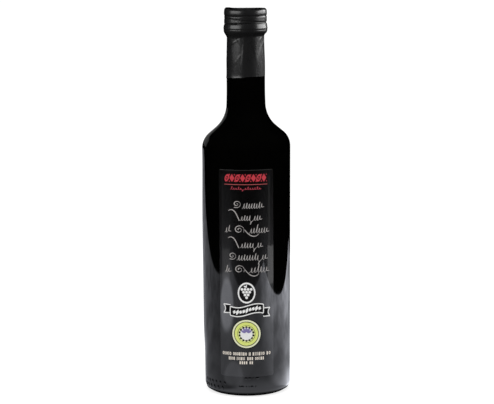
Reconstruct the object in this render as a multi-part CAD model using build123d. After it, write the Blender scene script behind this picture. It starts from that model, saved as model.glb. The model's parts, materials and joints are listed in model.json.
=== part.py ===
from build123d import *
from math import cos, degrees, radians, sin
import os

# A full, sealed vinegar bottle: dark glass, a screw cap, a shrink capsule over
# the cap and the top of the neck, and a film label on the front of the body.
# Millimetres. The bottle stands on Z = 0 with its axis on Z, and its label
# faces -Y.

# Glass body. It widens a little from foot to shoulder, as it leaves its mould.
body_foot_radius = 31.65
body_widening = 0.9            # extra radius at the shoulder
body_height = 189.2            # to the corner where body and shoulder slope meet
heel_rounding = 6.8
shoulder_rounding = 14.5
foot_ring_width = 4.85         # flat ring that it stands on, inside the heel's rounding
push_up_depth = 4.5            # of the hollow under the foot, inside that ring

# Glass shoulder and neck
shoulder_rise = 15.0           # from the body's top corner to the neck's foot
neck_radius = 14.05
neck_length = 78.4             # from the neck's foot to the mouth
neck_flare = 0.6               # extra radius at the neck's foot
neck_flare_length = 17.9
neck_foot_rounding = 22.3
neck_flare_rounding = 300.0
finish_step = 0.43             # how much narrower the neck is under the cap
finish_length = 21.1           # the narrow part, measured down from the mouth
finish_taper_length = 14.5
finish_rounding = 60.0
lip_rounding = 0.8

# Screw cap: a cup whose underside seats on the glass mouth. Its side is a stack
# of rings, listed from the foot up: a bead in two halves, a ring and the top band.
cap_bore_clearance = 0.4       # between the glass and the cap's bore
cap_wall = 1.05                # at the bottom of the deepest groove
cap_top_thickness = 1.3
cap_top_rounding = 1.1
ring_heights = (4.0, 4.7, 3.9, 5.1)
ring_bulges = (0.55, 0.65, 0.32, 0.31)    # over the wall, at the middle of each ring
groove_bulges = (0.25, 0.73, 0.15, 0.0)   # over the wall, at the foot of each ring
top_edge_bulge = 0.17

# Shrink capsule: thin film drawn onto the cap and neck. Its folded rim leaves
# the middle of the cap's top bare.
film_thickness = 0.12
film_clearance = 0.02
film_rim_width = 2.4
film_bend = 1.0                # where the film turns from the neck out to the cap
capsule_length = 49.5          # from the cap's top to the middle of the cut edge
capsule_cut_tilt = 2.4         # degrees by which the cut edge rises towards +X

# Film label, wrapped on the body
label_width = 42.0             # along the curve of the glass
label_height = 153.4
label_foot_height = 15.9
label_thickness = 0.12
label_clearance = 0.02
label_corner_rounding = 1.5
label_shift = -0.4             # of the label's middle, along the curve towards +X

# Heights and radii that follow
body_top_radius = body_foot_radius + body_widening
push_up_radius = body_foot_radius - heel_rounding - foot_ring_width
neck_foot_height = body_height + shoulder_rise
neck_flare_height = neck_foot_height + neck_flare_length
mouth_height = neck_foot_height + neck_length
finish_radius = neck_radius - finish_step
finish_foot_height = mouth_height - finish_length
finish_taper_height = finish_foot_height - finish_taper_length
cap_bore_radius = finish_radius + cap_bore_clearance
cap_wall_radius = cap_bore_radius + cap_wall
cap_top_height = mouth_height + cap_top_thickness
cap_foot_height = cap_top_height - sum(ring_heights)
capsule_edge_height = cap_top_height - capsule_length


def turned(edges):
    """Solid turned about Z from a closed outline drawn as radius and height."""
    return revolve(Plane.XZ * make_face(edges), Axis.Z)


def body_radius(height):
    """Radius of the glass between its heel and its shoulder."""
    return body_foot_radius + body_widening * height / body_height


def neck_corners(grow):
    """Corners of the neck's side above its foot, grown outwards, each with its rounding."""
    return {
        (neck_radius + grow, neck_flare_height): neck_flare_rounding,
        (neck_radius + grow, finish_taper_height): finish_rounding,
        (finish_radius + grow, finish_foot_height): finish_rounding,
    }


def bottle():
    """Glass and contents as one solid, since nothing of its inside shows."""
    corners = {
        (body_foot_radius, 0): heel_rounding,
        (body_top_radius, body_height): shoulder_rounding,
        (neck_radius + neck_flare, neck_foot_height): neck_foot_rounding,
        **neck_corners(0),
        (finish_radius, mouth_height): lip_rounding,
    }
    side = FilletPolyline(
        (push_up_radius, 0),
        *corners,
        (0, mouth_height),
        radius=list(corners.values()),
    )
    dome_radius = (push_up_radius**2 + push_up_depth**2) / (2 * push_up_depth)
    push_up = RadiusArc((0, push_up_depth), (push_up_radius, 0), dome_radius)
    axis = Line((0, push_up_depth), (0, mouth_height))
    return turned([*side.edges(), push_up, axis])


def cap_skin(grow):
    """Outside of the cap, from its foot to where its top edge turns flat, grown outwards."""
    arcs = []
    low = cap_foot_height
    for index, height in enumerate(ring_heights):
        topmost = index == len(ring_heights) - 1
        high = low + height - (cap_top_rounding if topmost else 0)
        head_bulge = top_edge_bulge if topmost else groove_bulges[index + 1]
        foot = (cap_wall_radius + groove_bulges[index] + grow, low)
        middle = (cap_wall_radius + ring_bulges[index] + grow, (low + high) / 2)
        head = (cap_wall_radius + head_bulge + grow, high)
        arcs.append(ThreePointArc(foot, middle, head))
        low = high
    top_edge_centre = (cap_wall_radius + top_edge_bulge - cap_top_rounding, high)
    arcs.append(CenterArc(top_edge_centre, cap_top_rounding + grow, 0, 90))
    return arcs


def screw_cap():
    """Moulded cup: ringed side, plain bore, flat underside on the mouth."""
    skin = cap_skin(0)
    inside = Polyline(
        skin[-1] @ 1,
        (0, cap_top_height),
        (0, mouth_height),
        (cap_bore_radius, mouth_height),
        (cap_bore_radius, cap_foot_height),
        skin[0] @ 0,
    )
    return turned([*skin, *inside.edges()])


def film_line(grow):
    """One face of the capsule's film, up the whole neck and cap to the lip of its rim."""
    corners = neck_corners(grow)
    skin = cap_skin(grow)
    neck = FilletPolyline(
        (neck_radius + neck_flare + grow, neck_foot_height),
        *corners,
        skin[0] @ 0,
        radius=[*list(corners.values())[:-1], film_bend],
    )
    rim = Line(skin[-1] @ 1, ((skin[-1] @ 1).X - film_rim_width, cap_top_height + grow))
    return [*neck.edges(), *skin, rim]


def capsule():
    """Shrunk film sleeve, open over the cap's top, its lower end cut a little askew."""
    inside = film_line(film_clearance)
    outside = film_line(film_clearance + film_thickness)
    lip = Line(inside[-1] @ 1, outside[-1] @ 1)
    foot = Line(inside[0] @ 0, outside[0] @ 0)
    sleeve = turned([*inside, *outside, lip, foot])
    tilt = radians(capsule_cut_tilt)
    cut = Plane(origin=(0, 0, capsule_edge_height), z_dir=(-sin(tilt), 0, cos(tilt)))
    return split(sleeve, bisect_by=cut, keep=Keep.TOP)


def label():
    """Film rectangle with rounded corners that follows the curve of the body."""
    head = label_foot_height + label_height
    inner_foot = body_radius(label_foot_height) + label_clearance
    inner_head = body_radius(head) + label_clearance
    section = Polyline(
        (inner_foot, label_foot_height),
        (inner_foot + label_thickness, label_foot_height),
        (inner_head + label_thickness, head),
        (inner_head, head),
        close=True,
    )
    middle_radius = (inner_foot + inner_head) / 2
    wrap = degrees(label_width / middle_radius)
    turn = degrees(label_shift / middle_radius)
    film = revolve(Plane.XZ * make_face(section.edges()), Axis.Z, wrap)
    film = Rot(0, 0, turn - 90 - wrap / 2) * film
    corners = film.edges().filter_by(lambda edge: edge.length < 2 * label_thickness)
    return fillet(corners, label_corner_rounding)


os.makedirs("parts", exist_ok=True)
nodes = {"bottle": bottle(), "screw_cap": screw_cap(), "capsule": capsule(), "label": label()}
for name, solid in nodes.items():
    export_step(solid, f"parts/{name}.step")
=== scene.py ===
import json
from math import atan2, ceil, cos, exp, hypot, pi, radians, sin, tan
from random import Random

import bmesh
import bpy
from mathutils import Matrix, Quaternion, Vector

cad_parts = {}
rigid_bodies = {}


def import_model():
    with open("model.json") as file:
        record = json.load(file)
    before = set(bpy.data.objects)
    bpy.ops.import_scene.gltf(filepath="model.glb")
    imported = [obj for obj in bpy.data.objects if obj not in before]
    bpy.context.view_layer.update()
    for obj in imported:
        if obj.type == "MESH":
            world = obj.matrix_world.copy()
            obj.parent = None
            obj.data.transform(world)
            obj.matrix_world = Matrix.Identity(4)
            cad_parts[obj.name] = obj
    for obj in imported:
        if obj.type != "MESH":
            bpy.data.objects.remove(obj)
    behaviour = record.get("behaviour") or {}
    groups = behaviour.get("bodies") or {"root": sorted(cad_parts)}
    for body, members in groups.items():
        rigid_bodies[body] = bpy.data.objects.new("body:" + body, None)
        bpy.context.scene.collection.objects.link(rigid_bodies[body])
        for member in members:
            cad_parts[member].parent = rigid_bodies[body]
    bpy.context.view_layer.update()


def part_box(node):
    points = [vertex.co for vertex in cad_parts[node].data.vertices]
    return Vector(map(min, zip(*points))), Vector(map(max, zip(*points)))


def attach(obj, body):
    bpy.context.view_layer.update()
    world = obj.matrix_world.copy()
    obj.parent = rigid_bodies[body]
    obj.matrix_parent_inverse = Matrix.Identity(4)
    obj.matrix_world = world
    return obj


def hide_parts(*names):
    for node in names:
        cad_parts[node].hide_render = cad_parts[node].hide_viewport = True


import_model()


# Glass bottle
# A tall round bottle of black glass, blown in a mould of two halves and full,
# so that nothing of its inside shows. It stands on a ring round a hollow foot.

mm = 0.001
body_foot_radius = 31.65 * mm
body_widening = 0.9 * mm
body_height = 189.2 * mm
heel_rounding = 6.8 * mm
shoulder_rounding = 14.5 * mm
shoulder_rise = 15 * mm
push_up_radius = 20 * mm
push_up_depth = 4.5 * mm
push_up_steps = 12
neck_radius = 14.05 * mm
neck_flare = 0.6 * mm
neck_flare_length = 17.9 * mm
neck_foot_rounding = 22.3 * mm
neck_flare_rounding = 300 * mm
finish_step = 0.43 * mm        # how much narrower the neck is under the cap
finish_length = 21.1 * mm
finish_taper_length = 14.5 * mm
finish_rounding = 60 * mm
lip_rounding = 0.8 * mm
seam_width = 0.7 * mm
seam_height = 0.1 * mm
glass_sides = 192
body_rows = 23
side_swelling = 0.6 * mm       # of the side towards -X, between these heights
swelling_foot, swelling_head = (28 * mm, 48 * mm), (178 * mm, 125 * mm)
shoulder_lean = 0.72 * mm      # rise of the shoulder towards +X, between these heights
lean_foot, lean_head = (158 * mm, 182 * mm), (232 * mm, 208 * mm)

mouth_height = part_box("bottle")[1].z
finish_radius = neck_radius - finish_step
finish_foot_height = mouth_height - finish_length
taper_height = finish_foot_height - finish_taper_length


def rounded(corners):
    """Outline through corners of radius, height and rounding, with an arc at each rounded corner."""
    points = [Vector(corners[0][:2])]
    for before, corner, after in zip(corners, corners[1:], corners[2:]):
        here = Vector(corner[:2])
        back = (Vector(before[:2]) - here).normalized()
        onward = (Vector(after[:2]) - here).normalized()
        half_turn = (pi - back.angle(onward)) / 2
        centre = here + (back + onward).normalized() * corner[2] / cos(half_turn)
        reach = corner[2] * tan(half_turn)
        start = here + back * reach - centre
        end = here + onward * reach - centre
        steps = max(3, ceil(half_turn / radians(2.5)))
        for step in range(steps + 1):
            points.append(centre + start.lerp(end, step / steps).normalized() * corner[2])
    points.append(Vector(corners[-1][:2]))
    return points


def add(operator, name, **settings):
    """The piece that one of Blender's add operators makes, alone selected."""
    bpy.ops.object.select_all(action="DESELECT")
    operator(**settings)
    piece = bpy.context.object
    piece.name = name
    bpy.ops.object.transform_apply(location=True, rotation=True, scale=True)
    return piece


def turn_on_lathe(name, outline, sides):
    """Shell turned about the upright axis from an outline of radius and height."""
    first = outline[0]
    piece = add(bpy.ops.mesh.primitive_plane_add, name, size=mm, location=(first.x, 0, first.y))
    bpy.ops.object.mode_set(mode="EDIT")
    bpy.ops.mesh.merge(type="CENTER")
    for here, there in zip(outline, outline[1:]):
        step = (there.x - here.x, 0, there.y - here.y)
        bpy.ops.mesh.extrude_vertices_move(TRANSFORM_OT_translate={"value": step})
    bpy.ops.mesh.select_all(action="SELECT")
    bpy.ops.mesh.spin(steps=sides, angle=2 * pi, center=(0, 0, 0), axis=(0, 0, 1))
    bpy.ops.mesh.select_all(action="SELECT")
    bpy.ops.mesh.remove_doubles(threshold=mm / 1000)
    bpy.ops.mesh.normals_make_consistent(inside=False)
    bpy.ops.object.mode_set(mode="OBJECT")
    bpy.ops.object.shade_smooth()
    return piece


def select(piece, kind, test):
    """In edit mode, selects the verts or the edges that pass a test, and no others."""
    bpy.ops.mesh.select_all(action="DESELECT")
    bpy.ops.mesh.select_mode(type="VERT" if kind == "verts" else "EDGE")
    mesh = bmesh.from_edit_mesh(piece.data)
    for part in getattr(mesh, kind):
        part.select_set(test(part))
    bmesh.update_edit_mesh(piece.data)


push_up_dome = (push_up_radius**2 + push_up_depth**2) / (2 * push_up_depth)
push_up = []
for step in range(push_up_steps + 1):
    radius = push_up_radius * step / push_up_steps
    sag = push_up_dome - (push_up_dome**2 - radius**2) ** 0.5
    push_up.append(Vector((radius, push_up_depth - sag)))
neck_foot_height = body_height + shoulder_rise
glass_side = rounded([
    (push_up_radius, 0),
    (body_foot_radius, 0, heel_rounding),
    (body_foot_radius + body_widening, body_height, shoulder_rounding),
    (neck_radius + neck_flare, neck_foot_height, neck_foot_rounding),
    (neck_radius, neck_foot_height + neck_flare_length, neck_flare_rounding),
    (neck_radius, taper_height, finish_rounding),
    (finish_radius, finish_foot_height, finish_rounding),
    (finish_radius, mouth_height, lip_rounding),
    (0, mouth_height),
])
bottle = turn_on_lathe("glass_bottle", push_up + glass_side[1:], glass_sides)
bpy.ops.object.mode_set(mode="EDIT")
select(bottle, "edges", lambda edge: abs(edge.verts[0].co.z - edge.verts[1].co.z) > body_height / 2)
bpy.ops.mesh.subdivide_edgering(number_cuts=body_rows, interpolation="LINEAR")
bpy.ops.object.mode_set(mode="OBJECT")


def ease(low, high, value):
    """Smooth step from 0 at low to 1 at high, which may be the lesser of the two."""
    along = min(max((value - low) / (high - low), 0), 1)
    return along * along * (3 - 2 * along)


# Soft when it left its mould, the glass set with one side swollen and its shoulder a little askew
for vertex in bottle.data.vertices:
    x, y, height = vertex.co
    side = x / max(hypot(x, y), mm)
    swelling = side_swelling * max(-side, 0)**6
    vertex.co.x += swelling * side * ease(*swelling_foot, height) * ease(*swelling_head, height)
    lean = ease(*lean_foot, height) * ease(*lean_head, height)
    vertex.co.z += shoulder_lean * x / body_foot_radius * lean


def on_seam(vertex):
    """Whether a vertex lies where the two halves of the mould met."""
    side = abs(vertex.co.y) < mm / 1000 and abs(vertex.co.x) > mm
    return side and heel_rounding < vertex.co.z < taper_height


bpy.ops.object.mode_set(mode="EDIT")
select(bottle, "edges", lambda edge: all(on_seam(vertex) for vertex in edge.verts))
bpy.ops.mesh.bevel(offset=seam_width / 2, segments=2, affect="EDGES")
select(bottle, "verts", on_seam)
bpy.ops.transform.shrink_fatten(value=seam_height)
bpy.ops.object.mode_set(mode="OBJECT")


class Signal:
    """An output of a material's nodes, which sums and products can be worked out on."""

    def __init__(self, tree, socket=None):
        self.tree = tree
        self.socket = socket

    def node(self, kind, settings={}, inputs={}, output=0):
        """A new node with these settings and these values or links, and the output asked for."""
        made = self.tree.nodes.new("ShaderNode" + kind)
        for setting, value in settings.items():
            setattr(made, setting, value)
        for name, value in inputs.items():
            if isinstance(value, Signal):
                self.tree.links.new(value.socket, made.inputs[name])
            else:
                made.inputs[name].default_value = value
        return Signal(self.tree, made.outputs[output] if made.outputs else None)

    def math(self, operation, first, second):
        return self.node("Math", {"operation": operation}, {0: first, 1: second})

    def __add__(self, other):
        return self.math("ADD", self, other)

    def __sub__(self, other):
        return self.math("SUBTRACT", self, other)

    def __rsub__(self, other):
        return self.math("SUBTRACT", other, self)

    def __mul__(self, other):
        return self.math("MULTIPLY", self, other)

    def __gt__(self, other):
        return self.math("GREATER_THAN", self, other)

    __radd__ = __add__
    __rmul__ = __mul__


def new_finish(name, **constants):
    """A material with these constant values, and the two ends to feed patterns from and into."""
    material = bpy.data.materials.new(name)
    material.use_nodes = True
    shader = material.node_tree.nodes["Principled BSDF"]
    for socket, value in constants.items():
        shader.inputs[socket.replace("_", " ")].default_value = value
    return material, Signal(material.node_tree), shader


def feed(shader, **patterns):
    """Links patterns to the shader's sockets of those names."""
    for socket, signal in patterns.items():
        signal.tree.links.new(signal.socket, shader.inputs[socket.replace("_", " ")])


def patterned(start, scale, stretch=(1, 1, 1), **noise):
    """Soft noise of that scale, per metre, over a piece."""
    place = start.node("TexCoord", output="Object")
    place = start.node("Mapping", inputs={"Vector": place, "Scale": stretch})
    return start.node("TexNoise", inputs={"Vector": place, "Scale": scale, **noise})


def blend_colours(start, mask, low, high):
    """Colour that goes from low to high as the mask goes from 0 to 1. Either may be a pattern."""
    low, high = (colour if isinstance(colour, Signal) else (*colour, 1) for colour in (low, high))
    return start.node("Mix", {"data_type": "RGBA"}, {"Factor": mask, 6: low, 7: high}, output=2)


def settle(piece, node, material):
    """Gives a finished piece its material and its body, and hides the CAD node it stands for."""
    piece.data.materials.clear()
    piece.data.materials.append(material)
    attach(piece, "root")
    if node:
        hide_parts(node)


glass, start, shader = new_finish("black_glass", IOR=1.52)
flow = patterned(start, 26, (1, 1, 0.3), Detail=1.5, Roughness=0.4)
seed = patterned(start, 210, (1, 1, 0.5), Detail=1.0)
smear = patterned(start, 60, Detail=4.0)
feed(
    shader,
    Base_Color=blend_colours(start, smear, (0.0004, 0.0004, 0.0004), (0.0009, 0.0009, 0.0008)),
    Roughness=0.018 + 0.03 * smear,
    Normal=start.node("Bump", inputs={"Strength": 1.0, "Distance": 0.12 * mm, "Height": flow + 0.02 * seed}),
)
settle(bottle, "bottle", glass)


# Knurling and mould marks
# Black glass raised from the body by cuts in its mould: a ring of short ribs round
# the heel, two patches of slanting ribs above it and two lines of small marks in front.

heel_rib_count = 112
heel_rib = (0.8 * mm, 0.36 * mm, 0.42 * mm)    # half lengths, as of each bead here
heel_rib_lean = radians(38)
side_rib = (0.85 * mm, 1.65 * mm, 0.5 * mm)
side_rib_lean = radians(14)
patch_places = (radians(-51), radians(129))    # turned from the front towards +X
patch_rows = (6.2 * mm, 9.9 * mm)
patch_ribs, patch_pitch = 6, radians(7.6)
mark_width, mark_depth = 0.9 * mm, 0.7 * mm

# Each line of marks: its height, then each mark's place towards +X and half its length, in millimetres
mark_lines = (
    (8.3 * mm, ((-6, 0.5), (-4, 1.5), (-1, 0.5), (1, 0.5), (3.2, 1.2), (6, 0.5))),
    (14.6 * mm, ((-1.2, 1.2), (1.5, 1.2), (4.0, 0.5), (7.2, 1.6))),
)


def on_heel(piece, angle, lean):
    """Turns a rib, made lying flat at the origin, onto the heel's rounding and round the foot."""
    out = Matrix.Translation((heel_rounding, 0, 0))
    turned = Matrix.Rotation(lean, 4, "Y") @ out @ Matrix.Rotation(pi / 2, 4, "Y")
    moved = Matrix.Translation((body_foot_radius - heel_rounding, 0, heel_rounding)) @ turned
    piece.data.transform(Matrix.Rotation(angle, 4, "Z") @ moved)


def copy_of(piece):
    """A copy with its own mesh."""
    twin = piece.copy()
    twin.data = piece.data.copy()
    bpy.context.collection.objects.link(twin)
    return twin


def join(pieces, name):
    """One piece of that name from many, left alone selected."""
    bpy.ops.object.select_all(action="DESELECT")
    for piece in pieces:
        piece.select_set(True)
    bpy.context.view_layer.objects.active = pieces[0]
    bpy.ops.object.join()
    pieces[0].name = name
    return pieces[0]


def bead(name, half_size):
    """A rounded grain of that half length, half width and half depth, at the origin."""
    piece = add(bpy.ops.mesh.primitive_uv_sphere_add, name, segments=8, ring_count=4, radius=1)
    piece.data.transform(Matrix.Diagonal((*half_size, 1)))
    bpy.ops.object.shade_smooth()
    return piece


rib = bead("rib", heel_rib)
ribs = []
for index in range(heel_rib_count):
    ribs.append(copy_of(rib))
    on_heel(ribs[-1], 2 * pi * index / heel_rib_count, heel_rib_lean)
bpy.data.objects.remove(rib)
settle(join(ribs, "heel_knurling"), None, glass)


def on_side(piece, angle, height, lean=0):
    """Stands a bead, made lying flat at the origin, on the body's side near the foot."""
    radius = body_foot_radius + body_widening * height / body_height
    upright = Matrix.Rotation(pi / 2, 4, "X") @ Matrix.Rotation(lean, 4, "Z")
    moved = Matrix.Translation((0, -radius, height)) @ upright
    piece.data.transform(Matrix.Rotation(angle, 4, "Z") @ moved)


ribs = []
for middle in patch_places:
    for row, height in enumerate(patch_rows):
        for index in range(patch_ribs):
            ribs.append(bead("rib", side_rib))
            place = middle + (index + 0.5 * row - patch_ribs / 2) * patch_pitch
            on_side(ribs[-1], place, height, side_rib_lean)
settle(join(ribs, "side_ribs"), None, glass)

marks = []
for height, line in mark_lines:
    for place, half_length in line:
        marks.append(bead("mark", (half_length * mm, mark_width, mark_depth)))
        on_side(marks[-1], place * mm / body_foot_radius, height)
settle(join(marks, "mould_marks"), None, glass)


# Screw cap
# A cup moulded in black plastic, with a ringed side, which seats on the glass mouth. Only
# the middle of its top is bare: a shallow dish round the mark of the moulding gate. Under
# the film its foot is bevelled and its side drawn in, so that the film's grooves clear it.

cap_wall = 1.05 * mm
cap_bore_clearance = 0.4 * mm
cap_top_rounding = 1.8 * mm
ring_heights = (4.0 * mm, 4.7 * mm, 3.9 * mm, 5.1 * mm)
ring_bulges = (0.55 * mm, 0.65 * mm, 0.32 * mm, 0.31 * mm)
groove_bulges = (0.25 * mm, 0.73 * mm, 0.15 * mm, 0.0, 0.17 * mm)
waist_height, waist_depth, waist_width = 274.6 * mm, 0.55 * mm, 2.6 * mm
foot_bevel, foot_bevel_height = 0.8 * mm, 0.9 * mm
dish_radius = 10.6 * mm
dish_depth = 0.35 * mm
dish_slope, dish_rounding = 0.3 * mm, 0.2 * mm
gate_ring_radius, gate_ring_slope = 1.6 * mm, 0.3 * mm
gate_pip_radius, gate_pip_slope = 0.6 * mm, 0.15 * mm
gate_pip_drop = 0.1 * mm       # below the cap's top
cap_sides = 128
side_steps = 64

cap_foot, cap_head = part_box("screw_cap")[0].z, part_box("screw_cap")[1].z
cap_bore = finish_radius + cap_bore_clearance
cap_wall_radius = cap_bore + cap_wall
groove_places = [cap_foot + sum(ring_heights[:index]) for index in range(len(ring_heights))]
groove_places.append(cap_head - cap_top_rounding)


def bump(value, middle, width):
    """A smooth hump of height 1, which fades to a third at that width from its middle."""
    return exp(-(((value - middle) / width) ** 2))


def ring_bulge(height):
    """How far the cap's side stands out over its wall at a height."""
    index = max(ring for ring in range(len(ring_heights)) if ring == 0 or height >= groove_places[ring])
    low, high = groove_places[index], groove_places[index + 1]
    along = min(max((height - low) / (high - low), 0), 1)
    foot, middle, head = groove_bulges[index], ring_bulges[index], groove_bulges[index + 1]
    straight = foot + (head - foot) * along
    return straight + (middle - (foot + head) / 2) * 4 * along * (1 - along)


cap_outline = [Vector((0, mouth_height)), Vector((cap_bore, mouth_height)), Vector((cap_bore, cap_foot))]
for step in range(side_steps + 1):
    height = cap_foot + (groove_places[-1] - cap_foot) * step / side_steps
    waist = waist_depth * bump(height, waist_height, waist_width)
    bevel = foot_bevel * bump(height, cap_foot, foot_bevel_height)
    cap_outline.append(Vector((cap_wall_radius + ring_bulge(height) - waist - bevel, height)))
edge_radius = cap_wall_radius + groove_bulges[-1]
cap_outline += rounded([
    (edge_radius, cap_head - cap_top_rounding),
    (edge_radius, cap_head, cap_top_rounding * 0.98),
    (dish_radius + dish_slope, cap_head, dish_rounding),
    (dish_radius, cap_head - dish_depth, dish_rounding),
    (gate_ring_radius, cap_head - dish_depth, dish_rounding),
    (gate_ring_radius - gate_ring_slope, cap_head - dish_depth / 2, dish_rounding / 2),
    (gate_pip_radius, cap_head - dish_depth / 2, dish_rounding / 2),
    (gate_pip_radius - gate_pip_slope, cap_head - gate_pip_drop, dish_rounding / 4),
    (0, cap_head - gate_pip_drop),
])[1:]
cap = turn_on_lathe("cap", cap_outline, cap_sides)
bpy.ops.object.shade_smooth_by_angle(angle=radians(40))

cap_plastic, start, shader = new_finish("cap_plastic")
grain = patterned(start, 900, Detail=3.0)
scuffs = patterned(start, 130, (1, 0.2, 1), Detail=6.0)
feed(
    shader,
    Base_Color=blend_colours(start, scuffs, (0.012, 0.012, 0.013), (0.03, 0.03, 0.031)),
    Roughness=0.36 + 0.16 * scuffs,
    Normal=start.node("Bump", inputs={"Strength": 0.5, "Distance": 0.03 * mm, "Height": grain}),
)
settle(cap, "screw_cap", cap_plastic)


# Shrink capsule
# A sleeve of thin black film, shrunk by heat onto the cap and the top of the
# neck. It takes the print of the cap's rings, spans the step under them and creases.

film_thickness = 0.12 * mm
film_clearance = 0.02 * mm
film_rim = 1.6 * mm
film_corner = 1.6 * mm
rim_left, rim_front, rim_right = 0.9 * mm, 0.25 * mm, 0.35 * mm     # by which the rim lifts
pleat_count, pleat_height = 23, 0.09 * mm
capsule_length = 49.5 * mm
cut_tilt = radians(2.4)
edge_flare, edge_flare_askew, edge_flare_length = 0.13 * mm, 0.21 * mm, 0.8 * mm
step_foot, step_head = -2.5 * mm, 1.5 * mm     # of the film's step, from the cap's foot
step_askew, step_slack = 0.95 * mm, 0.2 * mm
film_stand = 0.42 * mm         # from the cap's wall, before its rings swell it
ripple_depth, ripple_pitch = 0.03 * mm, 1.5 * mm           # of fine rings on the bead, towards +X
ripple_middle, ripple_width = 4.8 * mm, 2.2 * mm
film_sides = 240
row_height = 0.32 * mm
corner_steps, rim_steps = 10, 8

film_lift = film_clearance + film_thickness
cut_height = cap_head + film_lift - capsule_length
crease_radius = 14.2           # of the film on the neck, in millimetres
crease_reach, crease_rise = 12, 14             # past which a crease has faded out
loose_creases, step_creases = 46, 26           # round the neck, and at the film's step


def apart(angle, middle):
    """Degrees from one direction round the neck to another, the short way."""
    return (angle - middle + 180) % 360 - 180


draw = Random(11)
# Each crease: degrees from the front towards +X, height, lean from upright, length, width, depth
creases = [
    (-13, 254, 4, 13, 0.9, 0.10),
    (-24, 250, 38, 5, 0.8, 0.08),
    (-17, 243, -30, 4, 0.9, 0.06),
    (-38, 247, 30, 6, 1.0, 0.05),
    (24, 251, -14, 8, 1.1, 0.05),
    (46, 256, 20, 7, 1.2, 0.07),
    (58, 246, -24, 6, 1.0, 0.06),
    (12, 262, 60, 4, 0.8, 0.10),
    (-46, 263, -52, 4, 0.8, 0.12),
    (70, 262, 40, 4, 0.8, 0.12),
]
for number in range(loose_creases):
    creases.append((
        draw.uniform(80, 320),
        draw.uniform(237, 265),
        draw.gauss(0, 30),
        draw.uniform(3, 10),
        draw.uniform(0.7, 1.3),
        draw.uniform(0.05, 0.13),
    ))
for number in range(step_creases):
    creases.append((
        draw.uniform(0, 360),
        draw.uniform(260.5, 266),
        draw.choice((-1, 1)) * draw.uniform(25, 65),
        draw.uniform(1.5, 3.5),
        draw.uniform(0.5, 0.8),
        draw.uniform(0.06, 0.14),
    ))


def crease_depth(angle, height):
    """Depth of the creases at a place: each is a furrow with a lower ridge along one side."""
    depth = 0
    for middle, level, lean, length, width, deep in creases:
        across = radians(apart(angle, middle)) * crease_radius
        up = height / mm - level
        if abs(across) > crease_reach or abs(up) > crease_rise:
            continue
        side = across * cos(radians(lean)) - up * sin(radians(lean))
        along = across * sin(radians(lean)) + up * cos(radians(lean))
        furrow = bump(side, 0, width) - 0.7 * bump(side, 1.5 * width, width)
        depth += deep * mm * furrow * bump(along, 0, length)
    return depth


# Each swell over the cap's rings: height over the cap's foot, bulge, half width
swells = [
    (3.7, 0.56, 2.6),
    (1.7, 0.04, 0.7),
    (14.9, 0.12, 1.2),
]
# Each groove that the film is drawn into: middle height, rise towards +X, depth, half width
grooves = [
    (279.2, 0.0, 0.40, 0.36),
    (275.8, -1.55, 0.33, 0.42),
    (273.85, 0.65, 0.40, 0.42),
    (269.3, -0.1, 0.16, 0.34),
]


def film_radius(angle, height):
    """Outside of the film at a height, at so many degrees from the front towards +X."""
    side = sin(radians(angle))
    neck = finish_radius + finish_step * (1 - ease(taper_height - 3 * mm, finish_foot_height, height))
    slack = step_slack * sin(radians(3 * angle + 40))
    foot = cap_foot + step_foot + step_askew * side + slack
    onto_bead = ease(foot, cap_foot + step_head, height)
    rings = cap_wall_radius + film_stand
    for middle, bulge, half_width in swells:
        rings += bulge * mm * bump(height, cap_foot + middle * mm, half_width * mm)
    ripple = ripple_depth * max(side, 0) * sin(2 * pi * height / ripple_pitch)
    rings += ripple * bump(height, cap_foot + ripple_middle, ripple_width)
    radius = neck + (rings - neck) * onto_bead
    for middle, rise, depth, half_width in grooves:
        radius -= depth * mm * bump(height, (middle + rise * side) * mm, half_width * mm)
    loose = 0.05 * sin(radians(2 * angle + 25)) + 0.03 * sin(radians(5 * angle) + height * 160) + 0.03
    slackness = max(loose * mm - crease_depth(angle, height), -0.6 * film_clearance)
    flare = (edge_flare - edge_flare_askew * side) * exp(-(height - edge_height(angle)) / edge_flare_length)
    return radius + film_lift + slackness + flare


def edge_height(angle):
    """Height of the cut edge, askew and a little wavy."""
    turn = radians(angle)
    wave = 0.16 * sin(2 * turn + radians(70)) + 0.10 * sin(5 * turn) + 0.05 * sin(11 * turn)
    return cut_height + neck_radius * tan(cut_tilt) * sin(turn) + (wave + 0.3 * cos(turn)) * mm


corner_height = cap_head + film_lift - film_corner
rows = ceil((corner_height - cut_height) / row_height)
film = add(
    bpy.ops.mesh.primitive_cylinder_add, "shrink_capsule", vertices=film_sides, radius=cap_wall_radius,
    depth=1, end_fill_type="NOTHING", location=(0, 0, 0.5),
)
bpy.ops.object.mode_set(mode="EDIT")
select(film, "edges", lambda edge: abs(edge.verts[0].co.z - edge.verts[1].co.z) > 0.5)
bpy.ops.mesh.subdivide_edgering(number_cuts=rows - 1, interpolation="LINEAR")
select(film, "edges", lambda edge: all(vertex.co.z > 1 - mm for vertex in edge.verts))
for step in range(corner_steps + rim_steps):
    bpy.ops.mesh.extrude_edges_move(TRANSFORM_OT_translate={"value": (0, 0, 1)})
bpy.ops.object.mode_set(mode="OBJECT")

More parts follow.
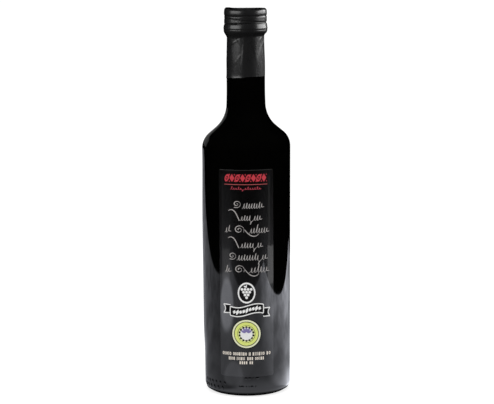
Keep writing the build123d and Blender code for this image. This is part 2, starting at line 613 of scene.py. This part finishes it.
# So far a tube: its first metre becomes the side, and each metre above that a step of corner and rim
for vertex in film.data.vertices:
    angle = atan2(vertex.co.x, -vertex.co.y)
    degrees_round = angle * 180 / pi
    level = vertex.co.z
    if level < 1.5:
        foot = edge_height(degrees_round)
        height = foot + (corner_height - foot) * level
        radius = film_radius(degrees_round, height)
    else:
        step = round(level - 1)
        turn = pi / 2 * min(step, corner_steps) / corner_steps
        middle = film_radius(degrees_round, corner_height) - film_corner
        radius = middle + film_corner * cos(turn)
        height = corner_height + film_corner * sin(turn)
        if step > corner_steps:
            inward = (step - corner_steps) / rim_steps
            ragged = 1 + 0.10 * sin(3 * angle + 1) + 0.06 * sin(7 * angle) + 0.04 * sin(16 * angle)
            radius -= film_rim * inward * ragged
        side = sin(angle)
        raised = rim_front + rim_left * max(-side, 0)**3.5 + rim_right * max(side, 0)**2
        height += raised * sin(turn)
        pleat = 0.5 + 0.5 * sin(pleat_count * angle + 2 * sin(3 * angle))
        height += pleat_height * pleat * ease(corner_steps - 4, corner_steps + rim_steps, step)
    vertex.co = (radius * sin(angle), -radius * cos(angle), height)


def thicken(piece, thickness):
    """Gives a sheet its thickness, its face staying where it is."""
    thick = piece.modifiers.new("thickness", "SOLIDIFY")
    thick.thickness = thickness
    thick.offset = -1
    bpy.context.view_layer.objects.active = piece
    bpy.ops.object.modifier_apply(modifier=thick.name)


thicken(film, film_thickness)
bpy.ops.object.shade_smooth_by_angle(angle=radians(50))

black_film, start, shader = new_finish("capsule_film")
cloud = patterned(start, 150, (1, 1, 0.4), Detail=3.0)
fine = patterned(start, 1500, Detail=2.0)
drag = patterned(start, 420, (1, 1, 0.08), Detail=2.0)
# Painted shade: film that faces upward, the folded rim over the cap's top, is painted near black, as if in
# the cap's shadow
facing = start.node("NewGeometry", output="Normal")
upward = start.node("SeparateXYZ", inputs={"Vector": facing}, output="Z")
painted_shade_on_top = start.node("MapRange", inputs={"Value": upward, "From Min": 0.5, "From Max": 0.95})
side_colour = blend_colours(start, cloud, (0.006, 0.006, 0.0063), (0.010, 0.010, 0.0103))
feed(
    shader,
    Base_Color=blend_colours(start, painted_shade_on_top, side_colour, (0.0008, 0.0008, 0.0008)),
    Roughness=0.22 + 0.12 * cloud,
    Normal=start.node("Bump", inputs={"Strength": 0.6, "Distance": 0.05 * mm, "Height": drag + 0.4 * fine}),
)
settle(film, "capsule", black_film)


# Film label
# A narrow upright sheet of black satin film with rounded corners, glued without a
# wrinkle onto the front of the body. A paler band along its head is a painted highlight, where its cut edge
# catches light.

label_width = 42 * mm
label_thickness = 0.12 * mm
label_clearance = 0.02 * mm
label_corner = 1.5 * mm
label_shift = -0.4 * mm
# Width of the painted highlight along the label's head
painted_highlight_width = 0.3 * mm
column_width = 0.75 * mm

label_foot, label_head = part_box("label")[0].z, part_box("label")[1].z
label_face = label_clearance + label_thickness
label_radius = body_foot_radius + body_widening * (label_foot + label_head) / 2 / body_height


def wrap_on_body(piece, lift):
    """Bends flat artwork, drawn upright and facing -Y, round the body at that lift off the glass."""
    for vertex in piece.data.vertices:
        around, inward, height = vertex.co
        angle = around / label_radius
        radius = body_foot_radius + body_widening * height / body_height + lift - inward
        vertex.co = (radius * sin(angle), -radius * cos(angle), height)


def cut_in_columns(piece):
    """Cuts flat artwork into upright columns, narrow enough to bend."""
    bpy.ops.object.mode_set(mode="EDIT")
    low = min(vertex.co.x for vertex in bmesh.from_edit_mesh(piece.data).verts)
    high = max(vertex.co.x for vertex in bmesh.from_edit_mesh(piece.data).verts)
    for column in range(1, ceil((high - low) / column_width)):
        bpy.ops.mesh.select_all(action="SELECT")
        bpy.ops.mesh.bisect(plane_co=(low + column * column_width, 0, 0), plane_no=(1, 0, 0))
    bpy.ops.object.mode_set(mode="OBJECT")


label = add(bpy.ops.mesh.primitive_plane_add, "film_label", size=1, rotation=(pi / 2, 0, 0))
label_place = Matrix.Translation((label_shift, 0, (label_foot + label_head) / 2))
label.data.transform(label_place @ Matrix.Diagonal((label_width, 1, label_head - label_foot, 1)))
bpy.ops.object.mode_set(mode="EDIT")
bpy.ops.mesh.select_all(action="SELECT")
bpy.ops.mesh.bevel(offset=label_corner, segments=8, affect="VERTICES")
bpy.ops.object.mode_set(mode="OBJECT")
cut_in_columns(label)
wrap_on_body(label, label_face)
thicken(label, label_thickness)
bpy.ops.object.shade_smooth_by_angle(angle=radians(40))

label_film, start, shader = new_finish(
    "label_film", Specular_IOR_Level=0.3, Coat_Weight=1.0, Coat_Roughness=0.03,
)
haze = patterned(start, 70, (1, 1, 0.5), Detail=3.0)
fine = patterned(start, 1800, Detail=2.0)
height = start.node("SeparateXYZ", inputs={"Vector": start.node("TexCoord", output="Object")}, output="Z")
# Painted highlight: a paler band along the label's head, where its cut edge catches light
painted_edge_highlight = height > label_head - painted_highlight_width
film_black = blend_colours(start, haze, (0.0012, 0.0011, 0.0010), (0.0030, 0.0026, 0.0024))
feed(
    shader,
    Base_Color=blend_colours(start, painted_edge_highlight, film_black, (0.045, 0.045, 0.043)),
    Roughness=0.24 + 0.10 * haze,
    Normal=start.node("Bump", inputs={"Strength": 0.4, "Distance": 0.02 * mm, "Height": fine}),
)
settle(label, "label", label_film)


# Print
# Inks laid on the film in flat colours, a layer over a layer. All places and sizes of print
# are in millimetres, across from the middle of the bottle's front and up from the table.

ink_depth = 0.03 * mm
ink_fading = 0.8               # of an ink's colour where it is worn


def ink(name, colour, roughness=0.45):
    """A matt ink, a little worn in fine spots."""
    material, start, shader = new_finish(name)
    wear = patterned(start, 700, Detail=4.0)
    faded = tuple(ink_fading * level for level in colour)
    feed(
        shader,
        Base_Color=blend_colours(start, wear, faded, colour),
        Roughness=roughness + 0.15 * wear,
    )
    return material


red_ink = ink("red_ink", (0.62, 0.03, 0.05))
rule_ink = ink("rule_ink", (0.58, 0.10, 0.10))
dull_red_ink = ink("dull_red_ink", (0.46, 0.035, 0.06))
grey_ink = ink("grey_ink", (0.44, 0.415, 0.40))
white_ink = ink("white_ink", (0.95, 0.95, 0.94))
cream_ink = ink("cream_ink", (0.88, 0.80, 0.70))
black_ink = ink("black_ink", (0.0012, 0.0012, 0.0012), roughness=0.8)
seal_cream_ink = ink("seal_cream_ink", (0.90, 0.91, 0.62))
lime_ink = ink("lime_ink", (0.80, 0.88, 0.22))
violet_ink = ink("violet_ink", (0.24, 0.20, 0.46))


def plate(place, size, sides=4, hole=0, lean=0):
    """Flat shape with so many sides, of that width and height, with a hole in proportion to them."""
    piece = add(
        bpy.ops.mesh.primitive_circle_add, "plate", vertices=sides, radius=0.5, fill_type="NGON",
        rotation=(pi / 2, 0, 0),
    )
    if hole:
        bpy.ops.object.mode_set(mode="EDIT")
        bpy.ops.mesh.select_all(action="SELECT")
        bpy.ops.mesh.inset(thickness=(1 - hole) * 0.5 * cos(pi / sides))
        bpy.ops.mesh.delete(type="FACE")
        bpy.ops.object.mode_set(mode="OBJECT")
    shape = Matrix.Diagonal((size[0] * mm, 1, size[1] * mm, 1))
    turned = Matrix.Rotation(radians(lean), 4, "Y")
    piece.data.transform(Matrix.Translation((place[0] * mm, 0, place[1] * mm)) @ turned @ shape)
    return piece


def bar(left, right, foot, head):
    """Flat upright rectangle between those sides and heights."""
    piece = add(bpy.ops.mesh.primitive_plane_add, "bar", size=1, rotation=(pi / 2, 0, 0))
    for vertex in piece.data.vertices:
        across = left if vertex.co.x < 0 else right
        up = foot if vertex.co.z < 0 else head
        vertex.co = (across * mm, 0, up * mm)
    return piece


def print_plates(name, plates, material, layer=0):
    """Joins flat shapes, cuts and bends them round the body and lays them on the film."""
    piece = join(plates, name)
    cut_in_columns(piece)
    wrap_on_body(piece, label_face + (1 + layer) * ink_depth)
    thicken(piece, 0.8 * ink_depth)
    settle(piece, None, material)


def pen_line(points, thin, thick):
    """Line through points of place, height and pressure, drawn by a pen of those two widths."""
    curve = bpy.data.curves.new("pen", "CURVE")
    curve.dimensions = "3D"
    curve.resolution_u = 3
    curve.bevel_depth = 1
    curve.bevel_resolution = 1
    curve.use_fill_caps = True
    spline = curve.splines.new("NURBS")
    spline.points.add(len(points) - 1)
    for point, (across, up, pressure) in zip(spline.points, points):
        point.co = (across * mm, 0, up * mm, 1)
        point.radius = (thin + (thick - thin) * pressure) / 2 * mm
    spline.use_endpoint_u = True
    spline.order_u = 3
    line = bpy.data.objects.new("pen", curve)
    bpy.context.collection.objects.link(line)
    bpy.ops.object.select_all(action="DESELECT")
    line.select_set(True)
    bpy.context.view_layer.objects.active = line
    bpy.ops.object.convert(target="MESH")
    line = bpy.context.object
    line.data.transform(Matrix.Diagonal((1, ink_depth / (thick * mm), 1, 1)))
    return line


def print_lines(name, lines, material, layer=0):
    """Joins pen lines, bends them round the body and lays them on the film."""
    piece = join(lines, name)
    wrap_on_body(piece, label_face + (0.5 + layer) * ink_depth)
    bpy.ops.object.shade_smooth()
    settle(piece, None, material)


def tendril(left, right, foot, tall, figures, loop=0.22):
    """Running penwork from left to right: each figure is a wave of that height, down if negative."""
    slant, figure_steps = 0.28, 8
    pitch = (right - left - slant * tall) / len(figures)
    points = []
    for index, figure in enumerate(figures):
        for step in range(figure_steps):
            turn = 2 * pi * step / figure_steps
            rise = figure * tall * (1 - cos(turn)) / 2
            across = left + (index + turn / (2 * pi)) * pitch + loop * pitch * sin(turn)
            pressure = max(0, -sin(turn)) * min(1, abs(figure) + 0.3)
            points.append((across + slant * rise, foot + rise, pressure))
    points.append((right, foot + 0.2 * tall, 0.1))
    return points


# The name: a band of cut ornaments in place of letters, diamonds and rings in turn
name_left, name_right, name_foot, name_head = -16.4, 14.8, 160.4, 166.4
ornament_count = 8
ornament_pitch = (name_right - name_left) / ornament_count
name_middle = (name_foot + name_head) / 2
name_tall = name_head - name_foot
ornaments = []
for index in range(ornament_count):
    middle = name_left + (index + 0.5) * ornament_pitch
    if index % 2:
        ornaments.append(plate((middle, name_middle), (0.94 * ornament_pitch, name_tall)))
    else:
        ring_size = (0.9 * ornament_pitch, name_tall)
        ornaments.append(plate((middle, name_middle), ring_size, 8, hole=0.52, lean=22.5))
        ornaments.append(plate((middle, name_middle), (0.32 * ornament_pitch, 0.3 * name_tall)))
    last = index == ornament_count - 1
    stud_size = 0.8 if last else 1.1
    stud_place = name_right if last else middle + ornament_pitch / 2
    for up in (name_foot + 0.6, name_head - 0.6):
        ornaments.append(plate((stud_place, up), (stud_size, stud_size)))
print_plates("name_band", ornaments, red_ink)

# A fine rule under the name, and a line of small red penwork under that
print_plates("name_rule", [bar(-16.6, 15.6, 158.45, 158.85)], rule_ink)
small_figures = (1, 0.5, 0.5, 0.9, 0.5, -0.5, 0.5, 0.9, 0.5, 0.5, 0.6, 0.9, 0.5)
small_red = tendril(-11.9, 10.8, 155.0, 2.3, small_figures, loop=0.35)
print_lines("name_penwork", [pen_line(small_red, 0.3, 0.8)], dull_red_ink)


# Six lines of pale tendrils, led in by curls and long swashes, which spell nothing
def spiral(across, up, width, turns=1.6, start=0.0):
    """A curl drawn from its middle outwards, fuller on its left side."""
    points = []
    turn_steps = 10
    for step in range(int(turn_steps * turns) + 1):
        turn = start + 2 * pi * step / turn_steps
        reach = width / 2 * (0.12 + 0.88 * step / (turn_steps * turns))
        points.append((across + reach * sin(turn), up + 0.86 * reach * cos(turn), 0.5 - 0.5 * sin(turn)))
    return points


tendrils = [
    tendril(-3.4, 13.0, 141.0, 6.2, (0.62, 0.7, 0.6, 0.62, 0.66, 0.6, 0.8, 0.6)),
    tendril(-5.0, 11.6, 132.1, 6.0, (0.55, 0.7, 0.6, 0.65, -0.5, 0.6, 0.65, 0.6)),
    tendril(-16.6, -11.4, 123.2, 6.0, (0.6, 0.95), loop=0.25),
    tendril(1.6, 17.0, 122.8, 6.2, (0.6, 0.65, 1.1, 0.6, 0.6, 0.65, 0.6)),
    tendril(-5.0, 12.2, 112.0, 6.0, (0.55, 0.7, 0.6, 0.65, 0.6, -0.5, 0.65, 0.6)),
    tendril(-7.4, 15.9, 102.8, 6.4, (0.62, 0.6, 0.7, 0.6, 0.65, 0.6, 0.85, 0.6, -0.5, 0.6, 0.65)),
    tendril(-16.8, -11.6, 93.6, 6.0, (0.95, 0.6), loop=0.25),
    tendril(1.6, 17.0, 93.6, 6.2, (0.6, 0.65, 1.1, 0.75, 0.6, 0.65)),
]
for across, foot in ((0, 132.1), (-0.5, 112.0)):
    tendrils.append([
        (across - 13.6, foot + 7.2, 0.2), (across - 11.8, foot + 8.3, 0.7), (across - 9.4, foot + 7.6, 1),
        (across - 7.2, foot + 4.6, 1), (across - 5.4, foot + 0.1, 0.9),
    ])
for across, up in ((-7.2, 144.4), (-10.8, 106.2)):
    tendrils.append(spiral(across, up, 7.0))
for foot in (122.0, 92.6):
    tendrils.append(spiral(-5.6, foot + 3.6, 8.4, turns=1.75, start=-2.2))
    tendrils.append([
        (-1.6, foot + 3.6, 0.4), (0.6, foot + 0.6, 0.7), (4.2, foot - 1.6, 1), (7.4, foot - 1.2, 0.5),
        (8.8, foot + 0.4, 0.2),
    ])
print_lines("penwork", [pen_line(points, 0.26, 0.88) for points in tendrils], grey_ink)

# Emblem: a bunch of grapes in an oval frame, on a black ground
emblem_across, emblem_up = -0.4, 78.7
emblem_place, emblem_size = (emblem_across, emblem_up), (13.0, 15.6)
grape_size, grape_pitch, grape_row_rise = 2.05, 2.25, 2.05
bunch_head = emblem_up + 2.7
leaf = plate((emblem_across - 0.9, emblem_up + 4.7), (2.4, 1.4), 6, lean=20)
stalk = bar(emblem_across - 0.25, emblem_across + 0.25, emblem_up + 4.0, emblem_up + 6.2)
emblem = [plate(emblem_place, emblem_size, 40, hole=0.84), leaf, stalk]
for row, count in enumerate((4, 3, 2, 1)):
    for column in range(count):
        across = emblem_across + (column - (count - 1) / 2) * grape_pitch
        emblem.append(plate((across, bunch_head - grape_row_rise * row), (grape_size, grape_size), 12))
print_plates("emblem_ground", [plate(emblem_place, emblem_size, 40)], black_ink)
print_plates("emblem", emblem, white_ink, layer=1)

# Ribbon: a white outline with two forked tails, slanted marks along it, all on a black ground
ribbon_left, ribbon_right, ribbon_half, tail_half = -12.6, 12.0, 3.3, 3.2
ribbon_height, ribbon_swing, ribbon_wave, ribbon_start = 65.7, 1.5, 30, 0.42
ribbon_steps = 12
tail_length, tail_fork = 5.3, 1.8
mark_count, mark_left, mark_pitch = 9, -9.6, 2.35


def ribbon_middle(across):
    """Height of the middle of the ribbon, a slow wave across the label."""
    swing = sin(2 * pi * ((across - ribbon_left) / ribbon_wave - ribbon_start))
    return ribbon_height + ribbon_swing * swing


def along_ribbon(step):
    """Place across the label of so many steps along the ribbon."""
    return ribbon_left + (ribbon_right - ribbon_left) * step / ribbon_steps


ribbon = []
for rise in (-ribbon_half, ribbon_half):
    places = [along_ribbon(step) for step in range(ribbon_steps + 1)]
    ribbon.append([(across, ribbon_middle(across) + rise, 1) for across in places])
grounds = []
for step in range(ribbon_steps):
    low, high = along_ribbon(step), along_ribbon(step + 1)
    middle = ribbon_middle((low + high) / 2)
    grounds.append(bar(low, high, middle - ribbon_half, middle + ribbon_half))
for side, inner, middle in ((-1, ribbon_left, 66.6), (1, ribbon_right, 63.9)):
    up = ribbon_middle(inner)
    edge = inner + side * 0.06
    ribbon.append([(edge, up - ribbon_half, 1), (edge + side * 0.4, up, 1), (edge, up + ribbon_half, 1)])
    tip = inner + side * tail_length
    foot, head = middle - tail_half, middle + tail_half
    ribbon.append([
        (inner, foot + 0.2, 1), (tip - side * 0.1, foot, 1), (tip, foot, 1), (tip, foot + 0.1, 1),
        (tip - side * tail_fork, middle, 1),
        (tip, head - 0.1, 1), (tip, head, 1), (tip - side * 0.1, head, 1), (inner, head - 0.2, 1),
    ])
    ground_end = tip - side * 1.6
    grounds.append(bar(min(inner, ground_end), max(inner, ground_end), foot, head))
print_plates("ribbon_ground", grounds, black_ink)
print_lines("ribbon", [pen_line(points, 0.8, 0.9) for points in ribbon], white_ink, layer=1)
ribbon_marks = []
for index in range(mark_count):
    across = mark_left + mark_pitch * index
    size = (2.3, 4.6) if index % 3 == 1 else (2.6, 3.0)
    ribbon_marks.append(plate((across, ribbon_middle(across)), size, lean=20))
print_plates("ribbon_marks", ribbon_marks, white_ink, layer=1)

# Seal: a cream disc with a lime band, dark rings and notches, and a white disc with violet petals
seal_across, seal_up = -0.7, 48.1
notch_count, notch_radius = 14, 5.1
petal_count, petal_radius, petal_turn = 5, 2.5, 32


def seal_ring(width, sides=64, hole=0):
    """Disc or ring of that width about the seal's middle."""
    return plate((seal_across, seal_up), (width, width), sides, hole)


notches = [seal_ring(18.5, hole=0.94), seal_ring(13.2, 48, hole=0.955)]
for index in range(notch_count):
    turn = 2 * pi * index / notch_count
    place = (seal_across + notch_radius * sin(turn), seal_up + notch_radius * cos(turn))
    notches.append(plate(place, (2.0, 2.7), lean=index * 360 / notch_count))
print_plates("seal_ground", [seal_ring(22.4)], black_ink)
print_plates("seal_rim", [seal_ring(21.1)], seal_cream_ink, layer=1)
print_plates("seal_band", [seal_ring(17.6, hole=0.66)], lime_ink, layer=2)
print_plates("seal_notches", notches, black_ink, layer=2)
print_plates("seal_disc", [seal_ring(9.0, 40)], white_ink, layer=3)
petals = []
for index in range(petal_count):
    lean = petal_turn * (index - (petal_count - 1) / 2)
    turn = radians(lean)
    place = (seal_across + petal_radius * sin(turn), seal_up + 0.6 + petal_radius * cos(turn))
    petals.append(plate(place, (1.7, 3.6), 12, lean=lean))
print_plates("seal_petals", petals, violet_ink, layer=4)

# Foot of the label: three rows of small blocks in groups, each row with its foot, head and groups
foot_rows = (
    (31.8, 34.3, ((-19.4, -12), (-10.8, -0.2), (1.0, 2.6), (3.8, 13.2), (14.6, 18.2))),
    (28.4, 30.7, ((-14.3, -9.0), (-8.0, -1.6), (-0.2, 4.6), (5.6, 12.9))),
    (25.4, 27.5, ((-5.95, 0.4), (1.5, 4.54))),
)
block_pitch = 1.45
blocks = []
draw = Random(5)
for foot, head, groups in foot_rows:
    for left, right in groups:
        count = max(2, round((right - left) / block_pitch))
        pitch = (right - left) / count
        for index in range(count):
            low = left + index * pitch
            kind = draw.choice(("whole", "split", "ring"))
            if kind == "whole":
                blocks.append(bar(low, low + 0.64 * pitch, foot, head))
            elif kind == "split":
                blocks.append(bar(low, low + 0.24 * pitch, foot, head))
                blocks.append(bar(low + 0.48 * pitch, low + 0.72 * pitch, foot, head))
            else:
                place = (low + 0.4 * pitch, (foot + head) / 2)
                blocks.append(plate(place, (0.9 * pitch, head - foot), 8, hole=0.4))
print_plates("foot_rows", blocks, cream_ink)


# Floor and light
# A plain pale floor under even light. Black glass mirrors only a light table, laid round
# the bottle in a dark room. It is brighter to the right, and in front and at the sides it
# ends about 0.4 m away. Neither is part of the bottle.

floor_size = 60
floor_grey, floor_glow = 0.3, 0.78     # which add up to white where no shadow falls


def bare_material(piece, name):
    """Gives a staged piece a material with no nodes yet, and where to start them."""
    material = bpy.data.materials.new(name)
    material.use_nodes = True
    material.node_tree.nodes.clear()
    piece.data.materials.append(material)
    return Signal(material.node_tree)


floor = add(bpy.ops.mesh.primitive_plane_add, "floor", size=floor_size)
start = bare_material(floor, "floor_white")
camera_rays = start.node("LightPath", output="Is Camera Ray")
pale = start.node("BsdfDiffuse", inputs={"Color": (floor_grey, floor_grey, floor_grey, 1)})
glow = start.node("Emission", inputs={"Strength": floor_glow * camera_rays})
both = start.node("AddShader", inputs={0: pale, 1: glow})
start.node("OutputMaterial", inputs={"Surface": both})
floor.visible_glossy = False

table_near, table_far, table_lift = -0.413, 1.7, 0.0001
table_left, table_right = (-0.40, -1.0), (0.39, 0.39)      # at its near and far edges
table = add(bpy.ops.mesh.primitive_plane_add, "light_table", size=1)
for vertex in table.data.vertices:
    far = vertex.co.y > 0
    side = table_right if vertex.co.x > 0 else table_left
    vertex.co = (side[far], table_far if far else table_near, table_lift)
start = bare_material(table, "table_light")
place = start.node("TexCoord", output="Object")
across = start.node("SeparateXYZ", inputs={"Vector": place}, output="X")
to_back = start.node("SeparateXYZ", inputs={"Vector": place}, output="Y")


def fading(value, low, high, far_end):
    """1 before low, the far end after high, and smooth between."""
    limits = {"Value": value, "From Min": low, "From Max": high, "To Min": 1.0, "To Max": far_end}
    return start.node("MapRange", {"interpolation_type": "SMOOTHSTEP"}, limits)


def rising(value, low, high):
    """0 before low, 1 after high, and smooth between."""
    return 1 - fading(value, low, high, 0.0)


def distance_from(x, y):
    """Distance over the table from a point on it."""
    return start.node("VectorMath", {"operation": "DISTANCE"}, {0: place, 1: (x, y, 0)}, output="Value")


def pool(x, y, radius):
    """A round pool of light on the table."""
    return fading(distance_from(x, y), 0.8 * radius, 1.15 * radius, 0.0)


# Brighter to the right and further out there, cloudy all over, and bright at the bottle's foot in front
from_bottle = distance_from(0, 0)
rightward = across.math("DIVIDE", across - 0.03, distance_from(0.03, 0))
further = rising(from_bottle, 0.2, 0.38)
level = 0.5 + rising(rightward, 0.40, 0.90) * (0.85 + 1.35 * further)
cloud = fading(patterned(start, 11, Detail=4.0), 0.32, 0.68, 0.0)
at_foot = fading(from_bottle, 0.052, 0.10, 0.0) * rising(across, -0.034, -0.014)
rear = fading(to_back, 0.3, 1.3, 0.6)
spread = level * (0.7 + 0.5 * cloud + 0.5 * at_foot) * rear + 0.5 * at_foot
pools = 2.0 * pool(-0.295, -0.215, 0.118) + 0.5 * pool(-0.055, -0.085, 0.04)
dark_rear = (to_back > 0.56) * (across > -0.03)
# Painted shadow: the table's glow is cut out round the bottle's foot, where the bottle would shade it
lit = rising(from_bottle, 0.0295, 0.0335) * (1 - dark_rear)
glow = start.node("Emission", inputs={"Color": (0.96, 0.98, 1.07, 1), "Strength": (spread + pools) * lit})
start.node("OutputMaterial", inputs={"Surface": glow})
table.light_linking.receiver_collection = bpy.data.collections.new("mirrored_in")
for thing in bpy.context.scene.objects:
    if thing not in (film, cap, table, floor):
        table.light_linking.receiver_collection.objects.link(thing)
table.visible_camera = False
table.visible_diffuse = False
table.visible_shadow = False

world = bpy.data.worlds.new("studio")
bpy.context.scene.world = world
world.use_nodes = True
start = Signal(world.node_tree)
camera_rays = start.node("LightPath", output="Is Camera Ray")
diffuse_rays = start.node("LightPath", output="Is Diffuse Ray")
backdrop = world.node_tree.nodes["Background"]
backdrop.inputs["Color"].default_value = (1, 1, 1, 1)
strength = camera_rays + 0.95 * diffuse_rays
world.node_tree.links.new(strength.socket, backdrop.inputs["Strength"])


def softbox(name, place, target, size, power, glossy=True):
    """A rectangular lamp of that size and power, facing its target."""
    bpy.ops.object.light_add(type="AREA", location=place)
    lamp = bpy.context.object
    lamp.name = name
    lamp.data.shape = "RECTANGLE"
    lamp.data.size, lamp.data.size_y = size
    lamp.data.energy = power
    lamp.rotation_euler = (Vector(target) - Vector(place)).to_track_quat("-Z", "Y").to_euler()
    lamp.visible_glossy = glossy
    return lamp


softbox("overhead", (0, -0.6, 1.6), (0, 0, 0.1), (1.6, 1.2), 16, glossy=False)


def light_on(pieces, name, azimuth, distance, heights, width, power):
    """A softbox for these pieces alone, at so many degrees from the front towards +X."""
    low, high = heights
    place = (distance * sin(radians(azimuth)), -distance * cos(radians(azimuth)), (low + high) / 2)
    lamp = softbox(name, place, (0, 0, (low + high) / 2), (width, high - low), power)
    lamp.light_linking.receiver_collection = bpy.data.collections.new(name)
    for piece in pieces:
        lamp.light_linking.receiver_collection.objects.link(piece)


# Boxes and a wall to each side for the film and the cap, a sheen along the glass shoulder
# from behind, and cards and strips that show up the label's edges
light_on((film, cap), "left_box", -57, 0.7, (0.285, 0.6), 0.72, 2.8)
light_on((film, cap), "right_box", 101, 0.7, (0.29, 0.6), 0.85, 6.8)
light_on((film, cap), "left_wall", -64, 0.7, (0.08, 0.22), 1.4, 0.012)
light_on((film, cap), "right_wall", 118, 0.7, (0.08, 0.22), 0.7, 0.08)
light_on((bottle,), "shoulder_sheen", -152, 1.5, (0.2, 0.7), 1.2, 0.34)
light_on((label,), "left_card", -56, 0.45, (0.0, 0.034), 0.17, 0.007)
light_on((label,), "right_card", 64, 0.45, (0.0, 0.037), 0.15, 0.022)
light_on((label,), "left_strip", -64, 0.45, (0.035, 0.105), 0.02, 0.0006)
light_on((label,), "right_strip", 59, 0.45, (0.035, 0.105), 0.02, 0.0015)

# Camera: level with the eyes of a person sitting at the table, a little above the bottle
camera_place = Vector((0, -1.3727, 0.3432))
camera_aim = Vector((0, 0, 0.1412))
camera_roll = radians(-0.36)
camera_data = bpy.data.cameras.new("camera")
camera = bpy.data.objects.new("camera", camera_data)
bpy.context.collection.objects.link(camera)
camera.location = camera_place
aimed = (camera_aim - camera_place).to_track_quat("-Z", "Y")
camera.rotation_euler = (aimed @ Quaternion((0, 0, 1), camera_roll)).to_euler()
camera_data.sensor_width = 36
camera_data.lens = 136.13
camera_data.shift_x = 0.0009
bpy.context.scene.camera = camera
bpy.context.scene.view_settings.view_transform = "Standard"
